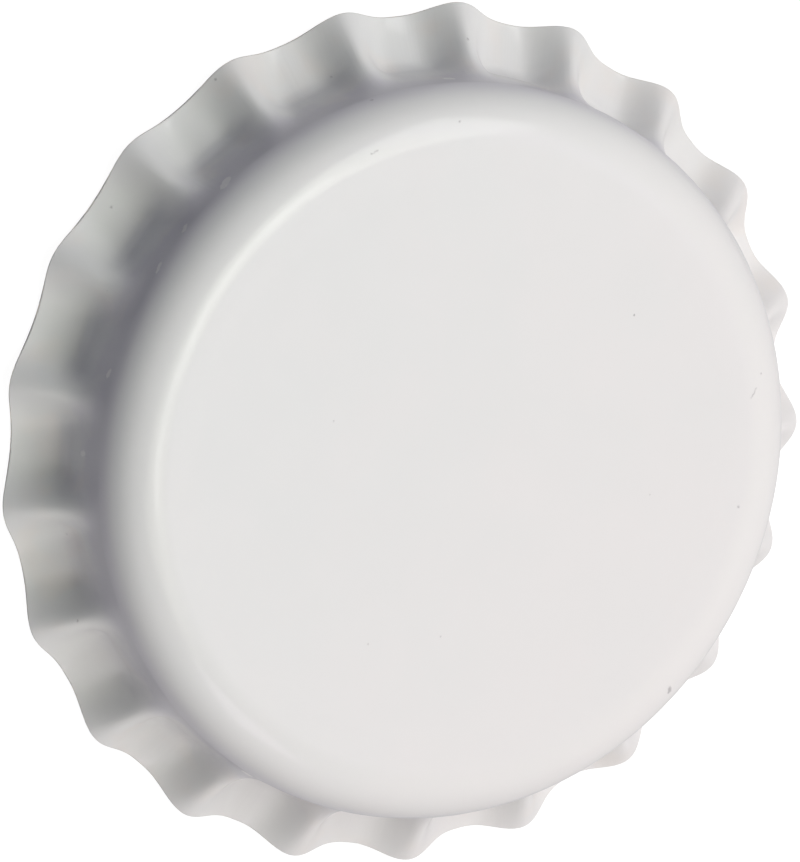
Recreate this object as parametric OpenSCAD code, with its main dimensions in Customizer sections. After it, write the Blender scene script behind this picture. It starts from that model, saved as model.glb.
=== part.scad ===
// Crown cap for a glass bottle: a pressed steel shell with a fluted skirt, and the moulded
// sealing liner inside it. The cap stands on its rim with the panel up. The origin is at the
// centre of the rim's plane and +Z runs up through the panel.

/* [Crown] */
// Outside diameter across the crests of the flutes
crown_d = 32.1; // [31:0.1:34]
// Height from the rim to the top of the panel
crown_h = 5.7; // [5.3:0.1:6.6]
// Inside diameter across the valleys of the flutes, which guides the bottle's neck
guide_d = 26.85; // [26.4:0.05:27.2]
// Thickness of the steel sheet
sheet = 0.24; // [0.2:0.01:0.3]

/* [Shoulder] */
// Outside radius of the rounded shoulder between the panel and the skirt
shoulder_r = 2.2; // [1.8:0.1:2.6]
// Slope that is left where the shoulder ends at the crease, in degrees from upright
shoulder_slope = 15; // [8:1:25]

/* [Flutes] */
// Number of flutes round the skirt
flutes = 21; // [18:1:24]
// How far the valleys stand in from the crests at the rim
flute_depth = 0.62; // [0.4:0.02:0.9]
// How much higher than the valleys the crests end at the rim
crest_rise = 0.6; // [0.3:0.05:0.9]
// Depth below the crease of the corner between a crest's upright root and its long slope
crest_root = 1.2; // [0.6:0.1:1.4]
// Radius to which that corner is rounded, as far as the root has room for it
crest_bend_r = 2.7; // [0.5:0.1:3]
// Slope of the valleys' flared lip, in degrees from upright
lip_flare = 62; // [54:1:66]
// Radius of the bend between a valley's upright wall and its lip
lip_bend_r = 0.8; // [0.4:0.1:1.6]
// Depth to which the punch irons the valleys' inside to a true cylinder
ironing = 0.035; // [0.02:0.005:0.05]

/* [Liner] */
// How far the liner's edge stands in from the guide's radius
liner_margin = 0.725; // [0.6:0.025:0.9]
// Thickness of the liner's membrane under the middle of the panel
membrane_t = 0.25; // [0.2:0.05:0.4]
// Thickness of the liner's sealing ring
ring_t = 0.7; // [0.5:0.05:0.9]
// Radial width of the sealing ring
ring_w = 2.65; // [2.2:0.05:3.2]
// Radius of the two half-round sealing beads
bead_r = 0.28; // [0.15:0.01:0.32]
// Distance of each bead's centre from its edge of the sealing ring
bead_inset = 0.4; // [0.34:0.01:0.5]

/* [Hidden] */

// Facets: steps round one flute, and bands down a valley's wall, its bend and its lip
flute_steps = 10;
wall_bands = 4;
bend_bands = 4;
lip_bands = 3;
round_fn = 96;

// How sharply the crests stand between the valleys, at the crease and at the rim
crease_sharpness = 5;
rim_sharpness = 1.4;

// Part-way steps for finding the sheet's normal by differences
slope_step = 0.01;
turn_step = 0.1;

// The skirt reaches this far up into the shoulder's wall, and stands in from its faces
weld_h = 0.05;
weld_inset = 0.02;

// Outside radius of the skirt where it starts, at the crease
neck_r = guide_d / 2 - ironing + sheet;

// The shoulder's centre, in radius and height, and the height of the crease
shoulder_c = neck_r - shoulder_r * cos(shoulder_slope);
shoulder_z = crown_h - shoulder_r;
crease_z = shoulder_z + shoulder_r * sin(shoulder_slope);

// Ends of the valleys and crests on the sheet's outer face, with the inner face touching z = 0
valley_end = [crown_d / 2 - flute_depth, sheet * sin(lip_flare)];
crest_end = [crown_d / 2, valley_end[1] + crest_rise];

// Corners of the valley's path and the crest's path, in radius and height
crease = [neck_r, crease_z];
valley_corner = [neck_r, valley_end[1] + (valley_end[0] - neck_r) / tan(lip_flare)];
crest_corner = crease - [0, crest_root];

// Underside of the panel, and the liner's flat seat between its beads
panel_under = crown_h - sheet;
seat_z = panel_under - ring_t;

// Outer and inner edge of the liner's sealing ring
liner_r = guide_d / 2 - liner_margin;
ring_in = liner_r - ring_w;

function lerp(a, b, t) = a + (b - a) * t;
function unit(v) = v / norm(v);

// A path from a to c by way of the corner b, which is rounded to radius r. Its lengths are
// the first straight, the bend and the second straight.
function turn_of(a, b, c) = acos(unit(b - a) * unit(c - b));
function cut_of(a, b, c, r) = r * tan(turn_of(a, b, c) / 2);
function path_lengths(a, b, c, r) = [
    norm(b - a) - cut_of(a, b, c, r),
    r * turn_of(a, b, c) * PI / 180,
    norm(c - b) - cut_of(a, b, c, r)
];
function sum3(v) = v[0] + v[1] + v[2];

// The point at share s of that path's length
function path_point(s, a, b, c, r) =
    let (
        lengths = path_lengths(a, b, c, r),
        d = s * sum3(lengths),
        along = unit(b - a),
        side = [-along[1], along[0]],
        turned = (d - lengths[0]) / r * 180 / PI
    )
    d <= lengths[0] ? a + along * d
    : d <= lengths[0] + lengths[1]
        ? a + along * lengths[0] + r * (along * sin(turned) + side * (1 - cos(turned)))
    : c - unit(c - b) * (sum3(lengths) - d);

crest_turn = turn_of(crease, crest_corner, crest_end);
crest_bend = min(crest_bend_r, crest_root / tan(crest_turn / 2));

function valley_path(s) = path_point(s, crease, valley_corner, valley_end, lip_bend_r);
function crest_path(s) = path_point(s, crease, crest_corner, crest_end, crest_bend);

// How far the sheet lies from crest, 0, to valley, 1, at an azimuth
function valley_share(s, azimuth) =
    1 - pow(abs(cos(azimuth * flutes / 2)), 2 * lerp(crease_sharpness, rim_sharpness, s));

// The sheet's outer face at share s from the crease to the rim
function outer_point(s, azimuth) =
    let (p = lerp(crest_path(s), valley_path(s), valley_share(s, azimuth)))
    [p[0] * cos(azimuth), p[0] * sin(azimuth), p[1]];

// The sheet's outward normal, which is level where the skirt starts
function normal(s, azimuth) =
    s == 0 ? [cos(azimuth), sin(azimuth), 0]
    : unit(cross(
        outer_point(min(1, s + slope_step), azimuth) - outer_point(s - slope_step, azimuth),
        outer_point(s, azimuth + turn_step) - outer_point(s, azimuth - turn_step)
    ));
function inner_point(s, azimuth) = outer_point(s, azimuth) - sheet * normal(s, azimuth);

// Shares down the skirt at which the mesh has a ring
valley_lengths = path_lengths(crease, valley_corner, valley_end, lip_bend_r);
wall_share = valley_lengths[0] / sum3(valley_lengths);
bend_share = (valley_lengths[0] + valley_lengths[1]) / sum3(valley_lengths);
stations = concat(
    [for (i = [0:wall_bands - 1]) lerp(0, wall_share, i / wall_bands)],
    [for (i = [0:bend_bands - 1]) lerp(wall_share, bend_share, i / bend_bands)],
    [for (i = [0:lip_bands]) lerp(bend_share, 1, i / lip_bands)]
);
azimuths = [for (i = [0:flutes * flute_steps - 1]) i * 360 / (flutes * flute_steps)];

function level_ring(r, z) = [for (a = azimuths) [r * cos(a), r * sin(a), z]];

// Rings of points from the weld down the outer face, then up the inner face to the weld
rings = concat(
    [level_ring(neck_r - weld_inset * 2, crease_z + weld_h)],
    [level_ring(neck_r - weld_inset, crease_z)],
    [for (i = [1:len(stations) - 1]) [for (a = azimuths) outer_point(stations[i], a)]],
    [for (i = [len(stations) - 1:-1:0]) [for (a = azimuths) inner_point(stations[i], a)]],
    [level_ring(neck_r - sheet, crease_z + weld_h)]
);

// Closes a stack of equal rings into a tube whose last ring joins its first
module closed_rings(rings) {
    count = len(rings);
    across = len(rings[0]);
    polyhedron(
        points = [for (ring = rings) each ring],
        faces = [
            for (i = [0:count - 1], j = [0:across - 1])
                let (
                    a = i * across + j,
                    b = i * across + (j + 1) % across,
                    c = ((i + 1) % count) * across + (j + 1) % across,
                    d = ((i + 1) % count) * across + j
                )
                each [[a, b, c], [a, c, d]]
        ],
        convexity = 10
    );
}

// Half the dome's outline above the crease, set in from the outer face by an inset
module dome_outline(inset) {
    intersection() {
        union() {
            square([shoulder_c, crown_h - inset]);
            translate([shoulder_c, shoulder_z])
                circle(r = shoulder_r - inset, $fn = round_fn);
        }
        translate([0, crease_z])
            square([neck_r, crown_h]);
    }
}

// The flat panel and its rounded shoulder
module dome() {
    rotate_extrude($fn = round_fn * 2)
        difference() {
            dome_outline(0);
            dome_outline(sheet);
        }
}

// The fluted skirt, with the inside of its valleys ironed to the guide's diameter
module skirt() {
    difference() {
        closed_rings(rings);
        translate([0, 0, -crown_h])
            cylinder(d = guide_d, h = 3 * crown_h, $fn = round_fn * 2);
    }
}

module crown_shell() {
    color("whitesmoke")
        union() {
            dome();
            skirt();
        }
}

// The liner: a membrane under the panel and a sealing ring with two beads, which fills the
// inside of the shoulder out to the liner's edge
module sealing_liner() {
    color("gainsboro")
        rotate_extrude($fn = round_fn * 2)
            union() {
                translate([0, panel_under - membrane_t])
                    square([ring_in + membrane_t, membrane_t]);
                intersection() {
                    dome_outline(sheet);
                    translate([ring_in, seat_z])
                        square([ring_w, ring_t]);
                }
                for (r = [ring_in + bead_inset, liner_r - bead_inset])
                    intersection() {
                        translate([r, seat_z])
                            circle(r = bead_r, $fn = round_fn);
                        translate([ring_in, seat_z - bead_r])
                            square([ring_w, bead_r + ring_t / 2]);
                    }
            }
}

crown_shell();
sealing_liner();
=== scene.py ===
import math

import bpy
import numpy as np
from mathutils import Matrix, Vector


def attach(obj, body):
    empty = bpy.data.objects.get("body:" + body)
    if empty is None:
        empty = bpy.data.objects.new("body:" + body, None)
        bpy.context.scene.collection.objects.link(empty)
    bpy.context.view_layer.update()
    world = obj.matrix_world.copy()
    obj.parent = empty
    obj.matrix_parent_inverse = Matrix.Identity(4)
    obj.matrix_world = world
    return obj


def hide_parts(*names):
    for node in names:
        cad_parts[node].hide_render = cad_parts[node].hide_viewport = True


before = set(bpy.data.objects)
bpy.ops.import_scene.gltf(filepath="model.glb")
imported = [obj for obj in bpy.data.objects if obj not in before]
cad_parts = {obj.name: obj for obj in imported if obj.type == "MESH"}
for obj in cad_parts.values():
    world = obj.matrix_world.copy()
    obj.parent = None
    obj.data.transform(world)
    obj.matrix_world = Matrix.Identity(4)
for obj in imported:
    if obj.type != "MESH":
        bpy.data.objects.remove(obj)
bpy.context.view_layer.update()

# Every size below is in millimetres, as in the part's source, and MM turns it into metres
MM = 0.001

# The shell. Its shoulder turns by SHOULDER_END in all, and SHOULDER_BREAK is where its wider arc
# gives way to the tighter one. The valleys' lips dip between LIP_START and the rim by up to 0.6
# of LIP_CURL.
CROWN_D = 32.1
CROWN_H = 5.7
GUIDE_D = 26.85
SHEET = 0.24
SHOULDER_R = 2.2
SHOULDER_SLOPE = math.radians(15)
SHOULDER_BREAK = math.radians(30)
SHOULDER_END = math.radians(84)
FLUTES = 21
FLUTE_DEPTH = 0.62
CREST_RISE = 0.6
CREST_ROOT = 1.2
CREST_BEND_R = 2.7
LIP_FLARE = math.radians(62)
LIP_BEND_R = 0.6
LIP_CURL = 0.11
LIP_START = 0.4
IRONING = 0.035
CREASE_SHARPNESS = 5
RIM_SHARPNESS = 1.4
EDGE_R = 0.05

# The liner. LINER_CORNER_R rounds the membrane's edge, and LINER_FOOT_R the ring's two edges.
LINER_MARGIN = 0.725
MEMBRANE_T = 0.25
RING_T = 0.7
RING_W = 2.65
BEAD_R = 0.28
BEAD_INSET = 0.4
LINER_CORNER_R = 0.12
LINER_FOOT_R = 0.06

# Columns of the shell's mesh across one flute, and rows down each part of its section. The inner
# face starts at share INNER_START of the skirt, and directions are taken over FRAME_STEP.
FLUTE_COLUMNS = 26
PANEL_ROWS = 8
SHOULDER_ROWS = 24
SKIRT_ROWS = 60
EDGE_ROWS = 4
INNER_ROWS = 32
INNER_START = 0.05
FRAME_STEP = 0.004

# Columns of the liner's mesh, and rows across its disc and down its roundings
LINER_COLUMNS = 360
DISC_ROWS = 6
CORNER_ROWS = 5
FOOT_ROWS = 4
BEAD_ROWS = 14

# Most of a noise's values lie in this range
NOISE_SPAN = (0.3, 0.7)

# How far above its threshold a scratch is at its full strength
SCRATCH_SOFT = 0.05

# The lacquer. It drifts from a cool white to a warmer, lighter one towards the sky's side, which is
# painted warm light, with clouds, and is tinted where the skirt was drawn. Scales of noise are in
# features to the millimetre. Each set of rubs has the stretch of its three axes and its threshold.
LACQUER_COOL = (0.811, 0.822, 0.815, 1)
LACQUER_WARM_LIT = (0.849, 0.834, 0.828, 1)
WARM_LIGHT_AZIMUTH = math.radians(325)
WARM_LIGHT_REACH = 14.0
CLOUD_SCALE = 0.3
CLOUD_DRIFT = 0.35
DRAWN_COLOUR = (0.87, 0.815, 0.77, 1)
DRAWN_SHARE = 0.35
DRAWN_SCALE = 0.45
DRAWN_EDGE = (0.48, 0.66)
SKIRT_FADE = 0.5
BASE_GLOSS = 0.5
COAT_WEIGHT = 0.45
COAT_ROUGHNESS = 0.11
ROUGHNESS = (0.5, 0.6)
ROUGHNESS_SCALE = 0.8
RUB_ROUGHNESS = 0.1
RUBS_ALONG = ((0.15, 7, 1), 0.68)
RUBS_ACROSS = ((5, 0.2, 1), 0.7)
PEEL_SCALE = 1.6
PEEL_DEPTH = 0.003
DRAW_LINES = 2.5
DRAW_LINE_SCALE = 4.0

# Painted shade in the crease, a bluish darkening of the white, in millimetres above and below it and
# out from it
CREASE_SHADE = (0.735, 0.73, 0.765, 1)
CREASE_SHADE_SCALE = 0.8
CREASE_SHADE_CLOUD = 0.5
CREASE_SHADE_BELOW = (-2.2, -0.6)
CREASE_SHADE_ABOVE = (1.0, 0.1)
CREASE_SHADE_OUT = (0.9, 0.1)

# The lacquer's marks and its painted glints. Each speck has a place and a width, and each streak and
# glint a start, an end and a width.
MARK_COLOUR = (0.2, 0.18, 0.2, 1)
MARK_STRENGTH = 0.5
MARK_BLUR = 0.09
MARK_RAGGED = 0.12
RAGGED_SCALE = 7.0
DUST_SPACING = 1.3
DUST_WIDTH = 0.12
DUST_SHARE = 0.12
STREAKS = (
    ((12.1, 2.8, 5.4), (12.0, 2.62, 5.48), 0.14),
    ((11.8, 2.35, 5.63), (11.6, 2.0, 5.66), 0.14),
    ((9.2, -8.95, 5.3), (9.1, -8.75, 5.35), 0.26),
    ((-4.3, 11.35, 5.6), (-4.05, 11.45, 5.6), 0.14),
    ((11.2, 7.4, 4.6), (11.4, 7.1, 4.5), 0.14),
)
SPECKS = (
    ((-12.1, 8.65, 0.5), 0.2),
    ((-3.75, 13.05, 4.25), 0.18),
    ((1.1, 14.8, 1.85), 0.18),
    ((0.1, 12.85, 5.25), 0.18),
    ((2.45, 13.45, 1.5), 0.18),
    ((-13.5, -3.25, 1.2), 0.18),
    ((-8.4, 13.3, 0.8), 0.16),
    ((-4.05, 13.4, 1.3), 0.17),
    ((-0.8, 12.45, 5.5), 0.17),
    ((11.35, -2.05, 5.7), 0.18),
    ((12.0, 2.85, 5.55), 0.16),
    ((-13.2, -6.25, 2.0), 0.16),
    ((-5.2, 1.6, 5.7), 0.13),
    ((-3.3, -6.7, 5.7), 0.13),
    ((-0.4, -6.5, 5.7), 0.13),
    ((7.7, -1.5, 5.7), 0.13),
)
# Painted highlights: pale strokes near the crease that stand for glints
GLINTS = (
    ((-0.35, 13.65, 3.3), (-0.2, 13.65, 3.35), 0.4),
    ((-7.0, -11.75, 3.65), (-6.75, -11.9, 3.65), 0.3),
    ((-9.25, 10.0, 3.95), (-9.1, 10.15, 3.75), 0.48),
    ((-10.75, 8.4, 3.95), (-10.65, 8.5, 3.8), 0.3),
    ((-11.75, 6.95, 4.0), (-11.6, 7.15, 3.9), 0.3),
    ((-13.26, 3.1, 3.6), (-13.24, 3.25, 3.7), 0.3),
    ((-13.62, 0.0, 2.5), (-13.62, 0.05, 2.7), 0.3),
)
# The pale colour of the painted glints
GLINT_COLOUR = (0.93, 0.93, 0.92, 1)

# The cut edge of the sheet
EDGE_STEEL = (0.74, 0.7, 0.65, 1)
EDGE_LACQUER = (0.84, 0.82, 0.79, 1)
STEEL_ROUGHNESS = 0.42
TORN_ROUGHNESS = 0.25
TORN_SCALE = 2.2
TORN_EDGE = (0.44, 0.5)
SHEAR_STRETCH = (9, 9, 1)
SHEAR_DEPTH = 0.012

# The coated tinplate inside
TIN_DARK = (0.66, 0.64, 0.58, 1)
TIN_LIGHT = (0.8, 0.78, 0.72, 1)
TIN_DULL = (0.55, 0.52, 0.45, 1)
DULL_SCALE = 1.1
DULL_EDGE = (0.62, 0.72)
ROLLING_STRETCH = (0.25, 9, 9)
GUIDE_RUBS = ((3, 3, 0.3), 0.66)
TIN_COAT_WEIGHT = 0.5
TIN_COAT_ROUGHNESS = 0.12
TIN_ROUGHNESS = (0.24, 0.36)
TIN_RUB_ROUGHNESS = 0.12
TIN_DEPTH = 0.003

# The liner's compound, with the punch's rings in radians to the millimetre
MILKY_DARK = (0.68, 0.7, 0.69, 1)
MILKY_LIGHT = (0.76, 0.77, 0.74, 1)
MILKY_SCALE = 0.6
SPECK_COLOUR = (0.4, 0.4, 0.38, 1)
SPECK_SPACING = 0.8
SPECK_WIDTH = 0.1
SPECK_SHARE = 0.3
SPECK_STRENGTH = 0.5
PUNCH_RINGS = 22.0
RING_RELIEF = 0.25
FLOW_SCALE = 3.0
FLOW_ROUGHNESS = (0.32, 0.5)
LINER_DEPTH = 0.006
LINER_SUBSURFACE = 0.25
LINER_SCATTER = 0.6

# The light, with the floor's size in metres. A pale sky lies on one side, towards the
# photograph's lower right, and is dimmer low down there. Behind the object it gives way to the
# shade, which is bluish low down. The key, a brighter patch, takes the sky's place high up. A
# radiance of 1 shows as white. Edges and heights are shares of a direction's length.
SKY_AZIMUTH = math.radians(326)
SKY_EDGE = (-0.65, -0.15)
SKY = (0.817, 0.785, 0.795, 1)
SKY_DIM = (0.45, 0.43, 0.435, 1)
DIM_SIDE = (0.55, 0.92)
DIM_HEIGHT = (0.5, 0.1)
SHADE = (0.02, 0.003, 0.003, 1)
LOW_SHADE = (0.03, 0.065, 0.19, 1)
LOW_HEIGHT = (0.1, 0.5)
KEY_AZIMUTH = math.radians(20)
KEY_HEIGHT = (0.72, 0.88)
KEY = (5.4, 4.4, 7.0, 1)
FLOOR_SIZE = 3
FLOOR_COLOUR = (0.165, 0.165, 0.165, 1)
FLOOR_LIFT = 0.95
FLOOR_SHEEN = 0.585

# The row of soft boxes overhead, in metres. Each has its offset along the row, its colour and
# its radiance, and all stand STRIP_SIDE to the row's side.
STRIP_AZIMUTH = math.radians(57)
STRIP_HEIGHT = 0.6
STRIP_SIDE = 0.05
STRIP_BOX = (0.3, 0.26)
STRIP = (
    (0.45, (0.97, 1.0, 0.955), 3.88),
    (0.15, (0.94, 1.0, 0.83), 4.15),
    (-0.15, (0.97, 1.0, 0.82), 2.1),
)

# A bright tube under the boxes, which shows only in reflections. It has its offsets along the
# row, across it, and up from the boxes.
TUBE_OFFSET = (0.01, 0.05, -0.02)
TUBE_BOX = (0.3, 0.09)
TUBE_COLOUR = (1.0, 1.0, 0.95)
TUBE_RADIANCE = 3.6

# The fill lamp, in metres
FILL_AZIMUTH = math.radians(272)
FILL_ELEVATION = math.radians(50)
FILL_DISTANCE = 0.6
FILL_SIZE = 0.16
FILL_COLOUR = (0.96, 0.85, 1.0)
FILL_RADIANCE = 2.7

# The camera, found from the crests' tips in the photograph. It looks at a point near the
# crown's centre, and the roll turns it about its line of sight. CAMERA_CLIP is in metres.
CAMERA_AIM = (-0.778, 0.386, 2.044)
CAMERA_DISTANCE = 518.7
CAMERA_AZIMUTH = math.radians(156.07)
CAMERA_ELEVATION = math.radians(62.29)
CAMERA_ROLL = math.radians(114.88)
CAMERA_LENS = 595.1
CAMERA_SENSOR = 36
CAMERA_CLIP = 0.01

# Radii and heights that follow from the sizes
NECK_R = GUIDE_D / 2 - IRONING + SHEET
SHOULDER_C = NECK_R - SHOULDER_R * math.cos(SHOULDER_SLOPE)
SHOULDER_Z = CROWN_H - SHOULDER_R
CREASE_Z = SHOULDER_Z + SHOULDER_R * math.sin(SHOULDER_SLOPE)
VALLEY_END = np.array([CROWN_D / 2 - FLUTE_DEPTH, SHEET * math.sin(LIP_FLARE)])
CREST_END = np.array([CROWN_D / 2, VALLEY_END[1] + CREST_RISE])
CREASE = np.array([NECK_R, CREASE_Z])
VALLEY_CORNER = np.array(
    [NECK_R, VALLEY_END[1] + (VALLEY_END[0] - NECK_R) / math.tan(LIP_FLARE)]
)
CREST_CORNER = CREASE - np.array([0, CREST_ROOT])
CREST_TURN = math.pi / 2 - math.atan2(CREST_CORNER[1] - CREST_END[1], CREST_END[0] - NECK_R)
CREST_BEND = min(CREST_BEND_R, CREST_ROOT / math.tan(CREST_TURN / 2))


# Shapes

def unit(v):
    return v / np.linalg.norm(v, axis=-1, keepdims=True)


def bent_path(shares, a, b, c, r):
    """Points at those shares of the path from a to c by way of the corner b, rounded to radius r."""
    first, last = unit(b - a), unit(c - b)
    turn = math.acos(first @ last)
    cut = r * math.tan(turn / 2)
    straight = np.linalg.norm(b - a) - cut
    total = straight + r * turn + np.linalg.norm(c - b) - cut
    side = np.array([-first[1], first[0]])
    d = np.asarray(shares, float)[..., None] * total
    angle = np.clip((d - straight) / r, 0, turn)
    return (
        a
        + first * np.minimum(d, straight)
        + r * (first * np.sin(angle) + side * (1 - np.cos(angle)))
        + last * np.maximum(d - straight - r * turn, 0)
    )


def outer_skirt(shares, azimuths):
    """Points of the skirt's outer face, one row for each share of the way from crease to rim."""
    crest = bent_path(shares, CREASE, CREST_CORNER, CREST_END, CREST_BEND)
    valley = bent_path(shares, CREASE, VALLEY_CORNER, VALLEY_END, LIP_BEND_R)
    lip = np.clip((shares - LIP_START) / (1 - LIP_START), 0, 1)
    valley[:, 1] -= LIP_CURL * 4 * lip * lip * (1 - lip)
    sharpness = CREASE_SHARPNESS + (RIM_SHARPNESS - CREASE_SHARPNESS) * shares
    ridge = np.abs(np.cos(azimuths * FLUTES / 2))[None, :] ** (2 * sharpness[:, None])
    section = valley[:, None, :] + (crest - valley)[:, None, :] * ridge[..., None]
    return np.stack(
        [section[..., 0] * np.cos(azimuths), section[..., 0] * np.sin(azimuths), section[..., 1]],
        -1,
    )


def skirt_frame(shares, azimuths):
    """The skirt's outer points with their unit directions down the sheet and out of it."""
    lower = outer_skirt(np.minimum(shares + FRAME_STEP, 1), azimuths)
    upper = outer_skirt(np.maximum(shares - FRAME_STEP, 0), azimuths)
    down = unit(lower - upper)
    ahead = outer_skirt(shares, azimuths + FRAME_STEP)
    behind = outer_skirt(shares, azimuths - FRAME_STEP)
    across = unit(ahead - behind)
    return outer_skirt(shares, azimuths), down, unit(np.cross(down, across))


def ring(r, z, azimuths):
    """A level ring of points."""
    return np.stack([r * np.cos(azimuths), r * np.sin(azimuths), np.full(len(azimuths), z)], -1)


def arc(centre, r, start, end, steps):
    """Points (radius, height) on an arc from one angle to another."""
    angles = np.linspace(start, end, steps + 1)
    return [(centre[0] + r * math.cos(a), centre[1] + r * math.sin(a)) for a in angles]


def shoulder(inset):
    """The shoulder's section from the panel's edge down to the crease, at that inset.

    It turns by SHOULDER_END in two arcs, which change over at SHOULDER_BREAK.
    """
    sin_break, cos_break = math.sin(SHOULDER_BREAK), math.cos(SHOULDER_BREAK)
    upper_r, lower_r = np.linalg.solve(
        [
            [sin_break, math.sin(SHOULDER_END) - sin_break],
            [1 - cos_break, cos_break - math.cos(SHOULDER_END)],
        ],
        [NECK_R - SHOULDER_C, CROWN_H - CREASE_Z],
    )
    upper_centre = (SHOULDER_C, CROWN_H - upper_r)
    lower_centre = (
        SHOULDER_C + (upper_r - lower_r) * sin_break,
        CROWN_H - upper_r + (upper_r - lower_r) * cos_break,
    )
    start, turn, end = math.pi / 2, math.pi / 2 - SHOULDER_BREAK, math.pi / 2 - SHOULDER_END
    upper = arc(upper_centre, upper_r - inset, start, turn, SHOULDER_ROWS // 2)
    lower = arc(lower_centre, lower_r - inset, turn, end, SHOULDER_ROWS // 2)
    return upper + lower[1:]


def mesh_of_rows(name, rows, row_materials, materials):
    """A closed mesh through rows of points, from a pole on the axis to another pole on it."""
    columns = len(rows[0])
    points = np.concatenate([rows[0].mean(0)[None], *rows, rows[-1].mean(0)[None]]) * MM
    last = len(points) - 1
    faces = [(0, 1 + j, 1 + (j + 1) % columns) for j in range(columns)]
    picks = [row_materials[0]] * columns
    for i in range(len(rows) - 1):
        a, b = 1 + i * columns, 1 + (i + 1) * columns
        for j in range(columns):
            k = (j + 1) % columns
            faces.append((a + j, b + j, b + k, a + k))
        picks += [row_materials[i]] * columns
    a = 1 + (len(rows) - 1) * columns
    faces += [(last, a + (j + 1) % columns, a + j) for j in range(columns)]
    picks += [row_materials[-1]] * columns
    mesh = bpy.data.meshes.new(name)
    mesh.from_pydata(points.tolist(), [], faces)
    mesh.polygons.foreach_set("use_smooth", [True] * len(faces))
    for material in materials:
        mesh.materials.append(material)
    mesh.polygons.foreach_set("material_index", picks)
    mesh.update()
    piece = bpy.data.objects.new(name, mesh)
    bpy.context.scene.collection.objects.link(piece)
    return piece


def edge_rows(azimuths):
    """The rounded cut edge, from the outer face round to the inner one."""
    end, down, out = (a[0] for a in skirt_frame(np.array([1.0]), azimuths))
    rows = []
    for depth, start in ((EDGE_R, 0), (SHEET - EDGE_R, math.pi / 2)):
        for i in range(EDGE_ROWS + 1):
            turn = start + math.pi / 2 * i / EDGE_ROWS
            rows.append(
                end
                - EDGE_R * down
                - depth * out
                + EDGE_R * (math.cos(turn) * out + math.sin(turn) * down)
            )
    return rows


def inner_rows(azimuths):
    """The skirt's inner face from the rim up, with its valleys ironed to the guide's diameter."""
    shares = np.linspace(1, INNER_START, INNER_ROWS + 1)[1:]
    points, _, out = skirt_frame(shares, azimuths)
    points = points - SHEET * out
    r = np.hypot(points[..., 0], points[..., 1])
    points[..., :2] *= (np.maximum(r, GUIDE_D / 2) / r)[..., None]
    return list(points)


def crown_shell(lacquer, bare_edge, inner_coat):
    """The pressed sheet, from the panel's middle over the rim to the panel's underside."""
    azimuths = np.arange(FLUTES * FLUTE_COLUMNS) * 2 * math.pi / (FLUTES * FLUTE_COLUMNS)
    under = reversed(shoulder(SHEET))
    panel = [SHOULDER_C * (i + 1) / PANEL_ROWS for i in range(PANEL_ROWS - 1)]
    skirt_shares = np.linspace(0, 1, SKIRT_ROWS + 1)[1:-1]
    outside = [ring(r, CROWN_H, azimuths) for r in panel]
    outside += [ring(r, z, azimuths) for r, z in shoulder(0)]
    outside += list(outer_skirt(skirt_shares, azimuths))
    edge = edge_rows(azimuths)
    inside = inner_rows(azimuths)
    inside += [ring(r, z, azimuths) for r, z in under]
    inside += [ring(r, CROWN_H - SHEET, azimuths) for r in reversed(panel)]
    rows = outside + edge + inside
    picks = [0] * (len(outside) + 1) + [1] * (len(edge) - 2) + [2] * (len(inside) + 1)
    return mesh_of_rows("crown_shell_sheet", rows, picks, [lacquer, bare_edge, inner_coat])


def liner_section():
    """The liner's section from its middle, round below, and back to the middle along its top."""
    under = CROWN_H - SHEET
    seat = under - RING_T
    edge_r = GUIDE_D / 2 - LINER_MARGIN
    ring_in = edge_r - RING_W
    membrane = under - MEMBRANE_T
    corner, foot = LINER_CORNER_R, LINER_FOOT_R
    section = [(ring_in * i / DISC_ROWS, membrane) for i in range(1, DISC_ROWS)]
    section += arc((ring_in - corner, membrane - corner), corner, math.pi / 2, 0, CORNER_ROWS)
    section += arc((ring_in + foot, seat + foot), foot, math.pi, 1.5 * math.pi, FOOT_ROWS)
    for centre in (ring_in + BEAD_INSET, edge_r - BEAD_INSET):
        section += arc((centre, seat), BEAD_R, math.pi, 2 * math.pi, BEAD_ROWS)
    section += arc((edge_r - foot, seat + foot), foot, 1.5 * math.pi, 2 * math.pi, FOOT_ROWS)
    section += [p for p in reversed(shoulder(SHEET)) if p[0] < edge_r]
    section += [(SHOULDER_C * i / DISC_ROWS, under) for i in range(DISC_ROWS - 1, 0, -1)]
    return section


def sealing_liner(compound):
    """The moulded liner: a membrane, and a sealing ring with two beads."""
    azimuths = np.arange(LINER_COLUMNS) * 2 * math.pi / LINER_COLUMNS
    rows = [ring(r, z, azimuths) for r, z in reversed(liner_section())]
    return mesh_of_rows("sealing_liner_ring", rows, [0] * len(rows), [compound])


# Materials

def shaded(name, **values):
    """A new material, with these values on its principled shader."""
    material = bpy.data.materials.new(name)
    material.use_nodes = True
    shader = material.node_tree.nodes["Principled BSDF"]
    for key, value in values.items():
        shader.inputs[key.replace("_", " ")].default_value = value
    return material, material.node_tree, shader


def node(tree, kind, inputs=(), **settings):
    """A new node with its inputs linked or set, given as pairs of an input's key and its value."""
    made = tree.nodes.new("ShaderNode" + kind)
    for name, value in settings.items():
        setattr(made, name, value)
    for key, value in inputs:
        if isinstance(value, bpy.types.NodeSocket):
            tree.links.new(value, made.inputs[key])
        else:
            made.inputs[key].default_value = value
    return made


def place_on(tree, stretch=(1, 1, 1)):
    """The place on the piece in millimetres, with each axis multiplied by its stretch."""
    coordinates = node(tree, "TexCoord").outputs["Object"]
    factors = [k / MM for k in stretch]
    return node(
        tree, "VectorMath", [(0, coordinates), (1, factors)], operation="MULTIPLY"
    ).outputs[0]


def noise(tree, place, scale, detail=2.0, seed=0.0):
    """Noise from 0 to 1, with scale in features to the millimetre."""
    inputs = [("Vector", place), ("W", seed), ("Scale", scale), ("Detail", detail)]
    return node(tree, "TexNoise", inputs, noise_dimensions="4D").outputs[0]


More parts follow.
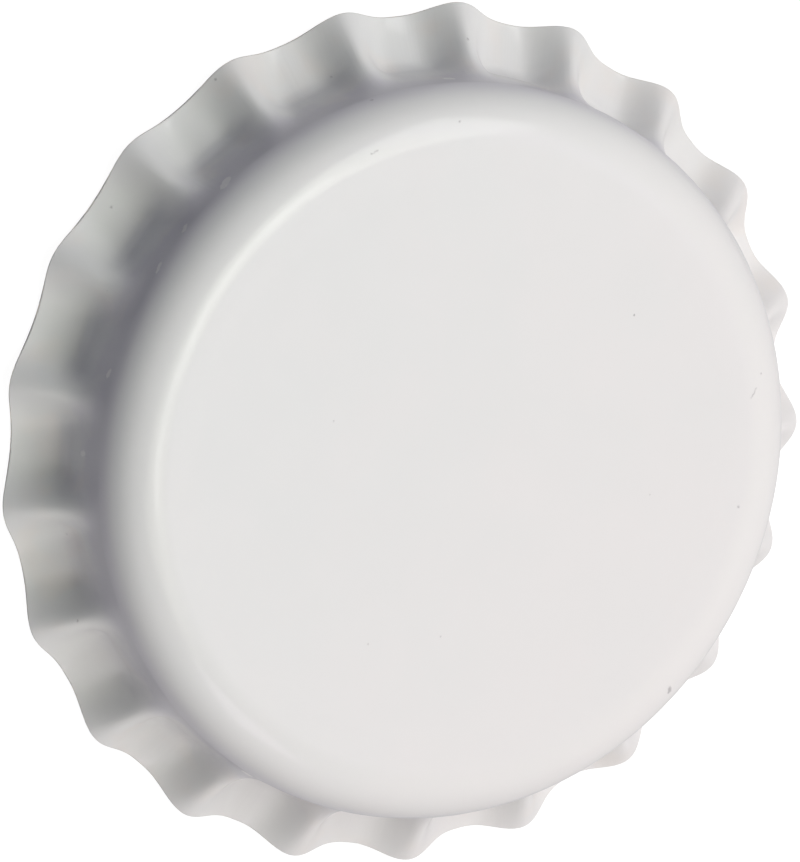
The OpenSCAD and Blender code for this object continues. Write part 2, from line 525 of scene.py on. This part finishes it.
def remap(tree, value, start, end, low=0.0, high=1.0):
    """The value's range from start to end turned smoothly into the range from low to high."""
    inputs = [("Value", value), ("From Min", start), ("From Max", end)]
    inputs += [("To Min", low), ("To Max", high)]
    return node(tree, "MapRange", inputs, interpolation_type="SMOOTHSTEP").outputs[0]


def maths(tree, operation, a, b=0.0):
    """The result of a maths node. An operation on one value leaves b alone."""
    return node(tree, "Math", [(0, a), (1, b)], operation=operation).outputs[0]


def blend(tree, share, a, b):
    """Colour a where the share is 0, and colour b where it is 1."""
    inputs = [("Factor", share), ("A", a), ("B", b)]
    mixer = tree.nodes.new("ShaderNodeMix")
    mixer.data_type = "RGBA"
    for name, value in inputs:
        socket = next(s for s in mixer.inputs if s.name == name and s.enabled)
        if isinstance(value, bpy.types.NodeSocket):
            tree.links.new(value, socket)
        else:
            socket.default_value = value
    return next(s for s in mixer.outputs if s.enabled)


def bumped(tree, shader, height, depth):
    """Gives the shader a bump whose height of 1 stands as high as the depth, in millimetres."""
    inputs = [("Height", height), ("Strength", 1.0), ("Distance", depth * MM)]
    tree.links.new(node(tree, "Bump", inputs).outputs[0], shader.inputs["Normal"])


def distance(tree, a, b):
    """How far place a lies from place b."""
    return node(tree, "VectorMath", [(0, a), (1, b)], operation="DISTANCE").outputs[1]


def from_line(tree, place, start, end):
    """Distance from the line between two places."""
    along = Vector(end) - Vector(start)
    reach = along.length
    off = node(tree, "VectorMath", [(0, place), (1, start)], operation="SUBTRACT").outputs[0]
    heading = list(along / reach)
    run = node(tree, "VectorMath", [(0, off), (1, heading)], operation="DOT_PRODUCT").outputs[1]
    run = node(tree, "Clamp", [("Value", run), ("Min", 0.0), ("Max", reach)]).outputs[0]
    foot = node(tree, "VectorMath", [(0, heading), ("Scale", run)], operation="SCALE").outputs[0]
    return distance(tree, off, foot)


def marks(tree, place, lines, spots=()):
    """Up to 1 on those lines and spots, and 0 elsewhere. The wider ones are the stronger."""
    gap = 1.0
    for start, end, width in lines:
        off = maths(tree, "SUBTRACT", from_line(tree, place, start, end), width / 2)
        gap = maths(tree, "MINIMUM", off, gap)
    for spot, width in spots:
        off = maths(tree, "SUBTRACT", distance(tree, place, spot), width / 2)
        gap = maths(tree, "MINIMUM", off, gap)
    return remap(tree, gap, 0.0, -MARK_BLUR)


def dust(tree, place, spacing, width, share):
    """1 on specks scattered over that share of cells so far apart, and 0 elsewhere."""
    cells = node(tree, "TexVoronoi", [("Vector", place), ("Scale", 1 / spacing)])
    picked = node(tree, "SeparateColor", [(0, cells.outputs["Color"])]).outputs[0]
    near = remap(tree, cells.outputs["Distance"], width / spacing / 2, width / spacing / 4)
    return maths(tree, "MULTIPLY", near, maths(tree, "LESS_THAN", picked, share))


def wander(tree, place, scale, reach):
    """The place, moved by up to about that reach by noise with that scale."""
    inputs = [("Vector", place), ("Scale", scale), ("Detail", 1.0)]
    swing = node(tree, "TexNoise", inputs).outputs["Color"]
    swing = node(tree, "VectorMath", [(0, swing), (1, (0.5, 0.5, 0.5))], operation="SUBTRACT")
    swing = node(tree, "VectorMath", [(0, swing.outputs[0]), ("Scale", reach)], operation="SCALE")
    return node(tree, "VectorMath", [(0, place), (1, swing.outputs[0])], operation="ADD").outputs[0]


def crease_shade(tree, place):
    """The share of painted shade: up to 1 in the crease, with a cloudy lower edge."""
    flat = node(tree, "VectorMath", [(0, place), (1, (1, 1, 0))], operation="MULTIPLY").outputs[0]
    out = maths(tree, "SUBTRACT", distance(tree, flat, (0, 0, 0)), NECK_R)
    height = node(tree, "SeparateXYZ", [(0, place)]).outputs["Z"]
    up = maths(tree, "SUBTRACT", height, CREASE_Z)
    clouds = noise(tree, place, CREASE_SHADE_SCALE, detail=3.0, seed=9.0)
    cloud = remap(tree, clouds, *NOISE_SPAN, -CREASE_SHADE_CLOUD, CREASE_SHADE_CLOUD)
    below = remap(tree, maths(tree, "ADD", up, cloud), *CREASE_SHADE_BELOW)
    above = remap(tree, up, *CREASE_SHADE_ABOVE)
    near = maths(tree, "MULTIPLY", below, above)
    return maths(tree, "MULTIPLY", near, remap(tree, out, *CREASE_SHADE_OUT))


def on_skirt(tree, place):
    """1 below the crease and 0 above it."""
    height = node(tree, "SeparateXYZ", [(0, place)]).outputs["Z"]
    return remap(tree, height, CREASE_Z, CREASE_Z - SKIRT_FADE)


def draw_lines(tree, place):
    """The drawing die's fine lines, which run down the skirt."""
    axes = node(tree, "SeparateXYZ", [(0, place)]).outputs
    around = maths(tree, "MULTIPLY", maths(tree, "ARCTAN2", axes["Y"], axes["X"]), CROWN_D / 2)
    rolled = node(tree, "CombineXYZ", [("X", around)]).outputs[0]
    return noise(tree, rolled, DRAW_LINE_SCALE, detail=3.0, seed=6.0)


def scratches(tree, stretch, threshold, seed):
    """1 on fine lines along the axis that is stretched least, and 0 elsewhere."""
    lines = noise(tree, place_on(tree, stretch), 1.0, detail=1.0, seed=seed)
    return remap(tree, lines, threshold, threshold + SCRATCH_SOFT)


def enamel_colour(tree, place, skirt):
    """The enamel's white, with painted warm light on the sky's side, its drawn skirt and painted
    shade in the crease.
    """
    # Painted warm light: the white grows warmer and lighter towards the sky's side
    warm_light = remap(tree, along(tree, place, WARM_LIGHT_AZIMUTH), -WARM_LIGHT_REACH, WARM_LIGHT_REACH)
    clouds = noise(tree, place, CLOUD_SCALE, detail=3.0)
    clouds = remap(tree, clouds, 0, 1, -CLOUD_DRIFT, CLOUD_DRIFT)
    white = blend(tree, maths(tree, "ADD", warm_light, clouds), LACQUER_COOL, LACQUER_WARM_LIT)
    drawn = noise(tree, place, DRAWN_SCALE, detail=2.0, seed=11.0)
    drawn = remap(tree, drawn, *DRAWN_EDGE, 0.0, DRAWN_SHARE)
    white = blend(tree, maths(tree, "MULTIPLY", drawn, skirt), white, DRAWN_COLOUR)
    # Painted shade: the white darkens to a bluish grey in the crease
    return blend(tree, crease_shade(tree, place), white, CREASE_SHADE)


def marked(tree, place, white):
    """That white with its painted glints, streaks, specks and dust."""
    ragged = wander(tree, place, RAGGED_SCALE, MARK_RAGGED)
    dark = marks(tree, ragged, STREAKS, SPECKS)
    dust_specks = dust(tree, ragged, DUST_SPACING, DUST_WIDTH, DUST_SHARE)
    dark = maths(tree, "MAXIMUM", dark, dust_specks)
    dark = maths(tree, "MULTIPLY", dark, MARK_STRENGTH)
    # Painted highlights: pale strokes as glints near the crease
    glinted = blend(tree, marks(tree, ragged, GLINTS), white, GLINT_COLOUR)
    return blend(tree, dark, glinted, MARK_COLOUR)


def enamel_roughness(tree, place):
    """The enamel's roughness, with fine rubs in two directions."""
    one_way = scratches(tree, *RUBS_ALONG, 1.0)
    other_way = scratches(tree, *RUBS_ACROSS, 2.0)
    rubs = maths(tree, "MAXIMUM", one_way, other_way)
    roughness = remap(tree, noise(tree, place, ROUGHNESS_SCALE, detail=3.0), *NOISE_SPAN, *ROUGHNESS)
    return maths(tree, "ADD", roughness, maths(tree, "MULTIPLY", rubs, RUB_ROUGHNESS))


def lacquer_material():
    """White stove enamel with orange peel, draw lines, dust, handling marks and fine rubs, and
    painted light: a warm tint on the sky's side, shade in the crease and glints near it.
    """
    material, tree, shader = shaded(
        "white_lacquer",
        Specular_IOR_Level=BASE_GLOSS,
        Coat_Weight=COAT_WEIGHT,
        Coat_Roughness=COAT_ROUGHNESS,
    )
    place = place_on(tree)
    skirt = on_skirt(tree, place)
    colour = marked(tree, place, enamel_colour(tree, place, skirt))
    tree.links.new(colour, shader.inputs["Base Color"])
    tree.links.new(enamel_roughness(tree, place), shader.inputs["Roughness"])
    lines = maths(tree, "MULTIPLY", draw_lines(tree, place), DRAW_LINES)
    lines = maths(tree, "MULTIPLY", lines, skirt)
    peel = noise(tree, place, PEEL_SCALE, detail=2.0)
    bumped(tree, shader, maths(tree, "ADD", peel, lines), PEEL_DEPTH)
    return material


def bare_edge_material():
    """The sheet's sheared edge: grey steel with fine shear lines and lacquer torn over it."""
    material, tree, shader = shaded("cut_steel_edge")
    place = place_on(tree)
    torn = remap(tree, noise(tree, place, TORN_SCALE, detail=4.0), *TORN_EDGE)
    colour = blend(tree, torn, EDGE_STEEL, EDGE_LACQUER)
    tree.links.new(colour, shader.inputs["Base Color"])
    tree.links.new(remap(tree, torn, 0.0, 1.0, 1.0, 0.0), shader.inputs["Metallic"])
    roughness = remap(tree, torn, 0.0, 1.0, STEEL_ROUGHNESS, TORN_ROUGHNESS)
    tree.links.new(roughness, shader.inputs["Roughness"])
    shear = noise(tree, place_on(tree, SHEAR_STRETCH), 1.0, detail=3.0)
    bumped(tree, shader, maths(tree, "ADD", shear, torn), SHEAR_DEPTH)
    return material


def inner_coat_material():
    """Tinplate under a clear coat, with the mill's rolling lines, dull spots and guide rubs."""
    material, tree, shader = shaded(
        "coated_tinplate",
        Metallic=1.0,
        Coat_Weight=TIN_COAT_WEIGHT,
        Coat_Roughness=TIN_COAT_ROUGHNESS,
    )
    rolling = noise(tree, place_on(tree, ROLLING_STRETCH), 1.0, detail=3.0)
    spots = noise(tree, place_on(tree), DULL_SCALE, detail=4.0, seed=5.0)
    tin = blend(tree, rolling, TIN_DARK, TIN_LIGHT)
    dull = blend(tree, remap(tree, spots, *DULL_EDGE), tin, TIN_DULL)
    tree.links.new(dull, shader.inputs["Base Color"])
    rubs = scratches(tree, *GUIDE_RUBS, 4.0)
    roughness = remap(tree, rolling, *NOISE_SPAN, *TIN_ROUGHNESS)
    roughness = maths(tree, "ADD", roughness, maths(tree, "MULTIPLY", rubs, TIN_RUB_ROUGHNESS))
    tree.links.new(roughness, shader.inputs["Roughness"])
    bumped(tree, shader, maths(tree, "ADD", rolling, rubs), TIN_DEPTH)
    return material


def liner_material():
    """Moulded sealing compound: milky, with the punch's rings, flow clouds and fine specks."""
    material, tree, shader = shaded(
        "liner_compound",
        Subsurface_Weight=LINER_SUBSURFACE,
        Subsurface_Scale=LINER_SCATTER * MM,
    )
    place = place_on(tree)
    flat = place_on(tree, (1, 1, 0))
    radius = node(tree, "VectorMath", [(0, flat)], operation="LENGTH").outputs[1]
    rings = maths(tree, "SINE", maths(tree, "MULTIPLY", radius, PUNCH_RINGS))
    milky = blend(tree, noise(tree, place, MILKY_SCALE, detail=3.0), MILKY_DARK, MILKY_LIGHT)
    specks = dust(tree, place, SPECK_SPACING, SPECK_WIDTH, SPECK_SHARE)
    specks = maths(tree, "MULTIPLY", specks, SPECK_STRENGTH)
    tree.links.new(blend(tree, specks, milky, SPECK_COLOUR), shader.inputs["Base Color"])
    flow = noise(tree, place, FLOW_SCALE, detail=3.0, seed=7.0)
    tree.links.new(remap(tree, flow, *NOISE_SPAN, *FLOW_ROUGHNESS), shader.inputs["Roughness"])
    ripple = maths(tree, "ADD", maths(tree, "MULTIPLY", rings, RING_RELIEF), flow)
    bumped(tree, shader, ripple, LINER_DEPTH)
    return material


def floor_material():
    """A pale floor that shows white in the picture and in reflections, with a faint shadow."""
    material = bpy.data.materials.new("pale_floor")
    material.use_nodes = True
    tree = material.node_tree
    tree.nodes.clear()
    path = node(tree, "LightPath").outputs
    seen = maths(tree, "MAXIMUM", path["Is Camera Ray"], path["Is Transmission Ray"])
    lift = maths(tree, "MULTIPLY", seen, FLOOR_LIFT)
    sheen = maths(tree, "MULTIPLY", path["Is Glossy Ray"], FLOOR_SHEEN)
    lift = maths(tree, "ADD", lift, sheen)
    paint = node(tree, "BsdfDiffuse", [("Color", FLOOR_COLOUR)]).outputs[0]
    white = node(tree, "Emission", [("Strength", lift)]).outputs[0]
    both = node(tree, "AddShader", [(0, paint), (1, white)]).outputs[0]
    node(tree, "OutputMaterial", [("Surface", both)])
    return material


# Stage, lights and camera

def add_floor():
    """A wide level floor under the rim."""
    bpy.ops.mesh.primitive_plane_add(size=FLOOR_SIZE)
    floor = bpy.context.object
    floor.name = "floor"
    floor.data.materials.append(floor_material())


def along(tree, towards, azimuth):
    """How far that place or direction reaches towards an azimuth."""
    inputs = [(0, towards), (1, direction(azimuth, 0))]
    return node(tree, "VectorMath", inputs, operation="DOT_PRODUCT").outputs[1]


def add_world():
    """A pale sky on one side with the key high up, and shade on the other. The camera sees white."""
    world = bpy.data.worlds.new("studio")
    bpy.context.scene.world = world
    world.use_nodes = True
    tree = world.node_tree
    tree.nodes.clear()
    towards = node(tree, "TexCoord").outputs["Generated"]
    height = node(tree, "SeparateXYZ", [(0, towards)]).outputs["Z"]
    side = along(tree, towards, SKY_AZIMUTH)
    high = remap(tree, height, *KEY_HEIGHT)
    low = maths(tree, "MULTIPLY", remap(tree, side, *DIM_SIDE), remap(tree, height, *DIM_HEIGHT))
    sky = blend(tree, high, blend(tree, low, SKY, SKY_DIM), (0, 0, 0, 1))
    shade = blend(tree, remap(tree, height, *LOW_HEIGHT), LOW_SHADE, SHADE)
    sky = blend(tree, remap(tree, side, *SKY_EDGE), shade, sky)
    reach = maths(tree, "MAXIMUM", along(tree, towards, KEY_AZIMUTH), 0.0)
    strength = maths(tree, "MULTIPLY", maths(tree, "MULTIPLY", reach, reach), high)
    key = node(tree, "Background", [("Color", KEY), ("Strength", strength)]).outputs[0]
    dim = node(tree, "Background", [("Color", sky)]).outputs[0]
    light = node(tree, "AddShader", [(0, dim), (1, key)]).outputs[0]
    white = node(tree, "Background", [("Color", (1, 1, 1, 1))]).outputs[0]
    seen = node(tree, "LightPath").outputs["Is Camera Ray"]
    shown = node(tree, "MixShader", [(0, seen), (1, light), (2, white)]).outputs[0]
    node(tree, "OutputWorld", [("Surface", shown)])


def add_lamp(name, place, turn, size, colour, radiance, diffuse=True):
    """A rectangular lamp, which without diffuse shows only in reflections."""
    light = bpy.data.lights.new(name, "AREA")
    light.shape = "RECTANGLE"
    light.size, light.size_y = size
    light.color = colour
    light.energy = math.pi * light.size * light.size_y * radiance
    lamp = bpy.data.objects.new(name, light)
    lamp.location = place
    lamp.rotation_euler = turn
    lamp.visible_diffuse = diffuse
    bpy.context.scene.collection.objects.link(lamp)


def add_lamps():
    """The row of soft boxes overhead, the tube under it, and the fill lamp facing the cap."""
    row = direction(STRIP_AZIMUTH, 0)
    across = direction(STRIP_AZIMUTH - math.pi / 2, 0)
    for offset, colour, radiance in STRIP:
        place = row * offset + across * STRIP_SIDE + Vector((0, 0, STRIP_HEIGHT))
        add_lamp("soft_box", place, (0, 0, STRIP_AZIMUTH), STRIP_BOX, colour, radiance)
    forward, aside, up = TUBE_OFFSET
    place = row * forward + across * aside + Vector((0, 0, STRIP_HEIGHT + up))
    turn = (0, 0, STRIP_AZIMUTH)
    add_lamp("tube", place, turn, TUBE_BOX, TUBE_COLOUR, TUBE_RADIANCE, diffuse=False)
    towards = direction(FILL_AZIMUTH, FILL_ELEVATION)
    turn = towards.to_track_quat("Z", "Y").to_euler()
    size = (FILL_SIZE, FILL_SIZE)
    add_lamp("fill_lamp", towards * FILL_DISTANCE, turn, size, FILL_COLOUR, FILL_RADIANCE)


def direction(azimuth, elevation):
    """The unit vector towards an azimuth and an elevation."""
    return Vector(
        (
            math.cos(elevation) * math.cos(azimuth),
            math.cos(elevation) * math.sin(azimuth),
            math.sin(elevation),
        )
    )


def add_camera():
    """The camera at the photograph's angle."""
    back = direction(CAMERA_AZIMUTH, CAMERA_ELEVATION)
    level = back.cross(Vector((0, 0, -1))).normalized()
    above = back.cross(level)
    right = level * math.cos(CAMERA_ROLL) + above * math.sin(CAMERA_ROLL)
    up = back.cross(right)
    camera = bpy.data.objects.new("camera", bpy.data.cameras.new("camera"))
    camera.data.lens = CAMERA_LENS
    camera.data.sensor_width = CAMERA_SENSOR
    camera.data.clip_start = CAMERA_CLIP
    place = (Vector(CAMERA_AIM) + back * CAMERA_DISTANCE) * MM
    turned = Matrix((right, up, back)).transposed().to_4x4()
    camera.matrix_world = Matrix.Translation(place) @ turned
    bpy.context.scene.collection.objects.link(camera)
    bpy.context.scene.camera = camera


shell = crown_shell(lacquer_material(), bare_edge_material(), inner_coat_material())
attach(shell, "root")
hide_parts("crown_shell")

liner = sealing_liner(liner_material())
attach(liner, "root")
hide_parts("sealing_liner")

add_floor()
add_world()
add_lamps()
add_camera()
bpy.context.scene.view_settings.view_transform = "Standard"
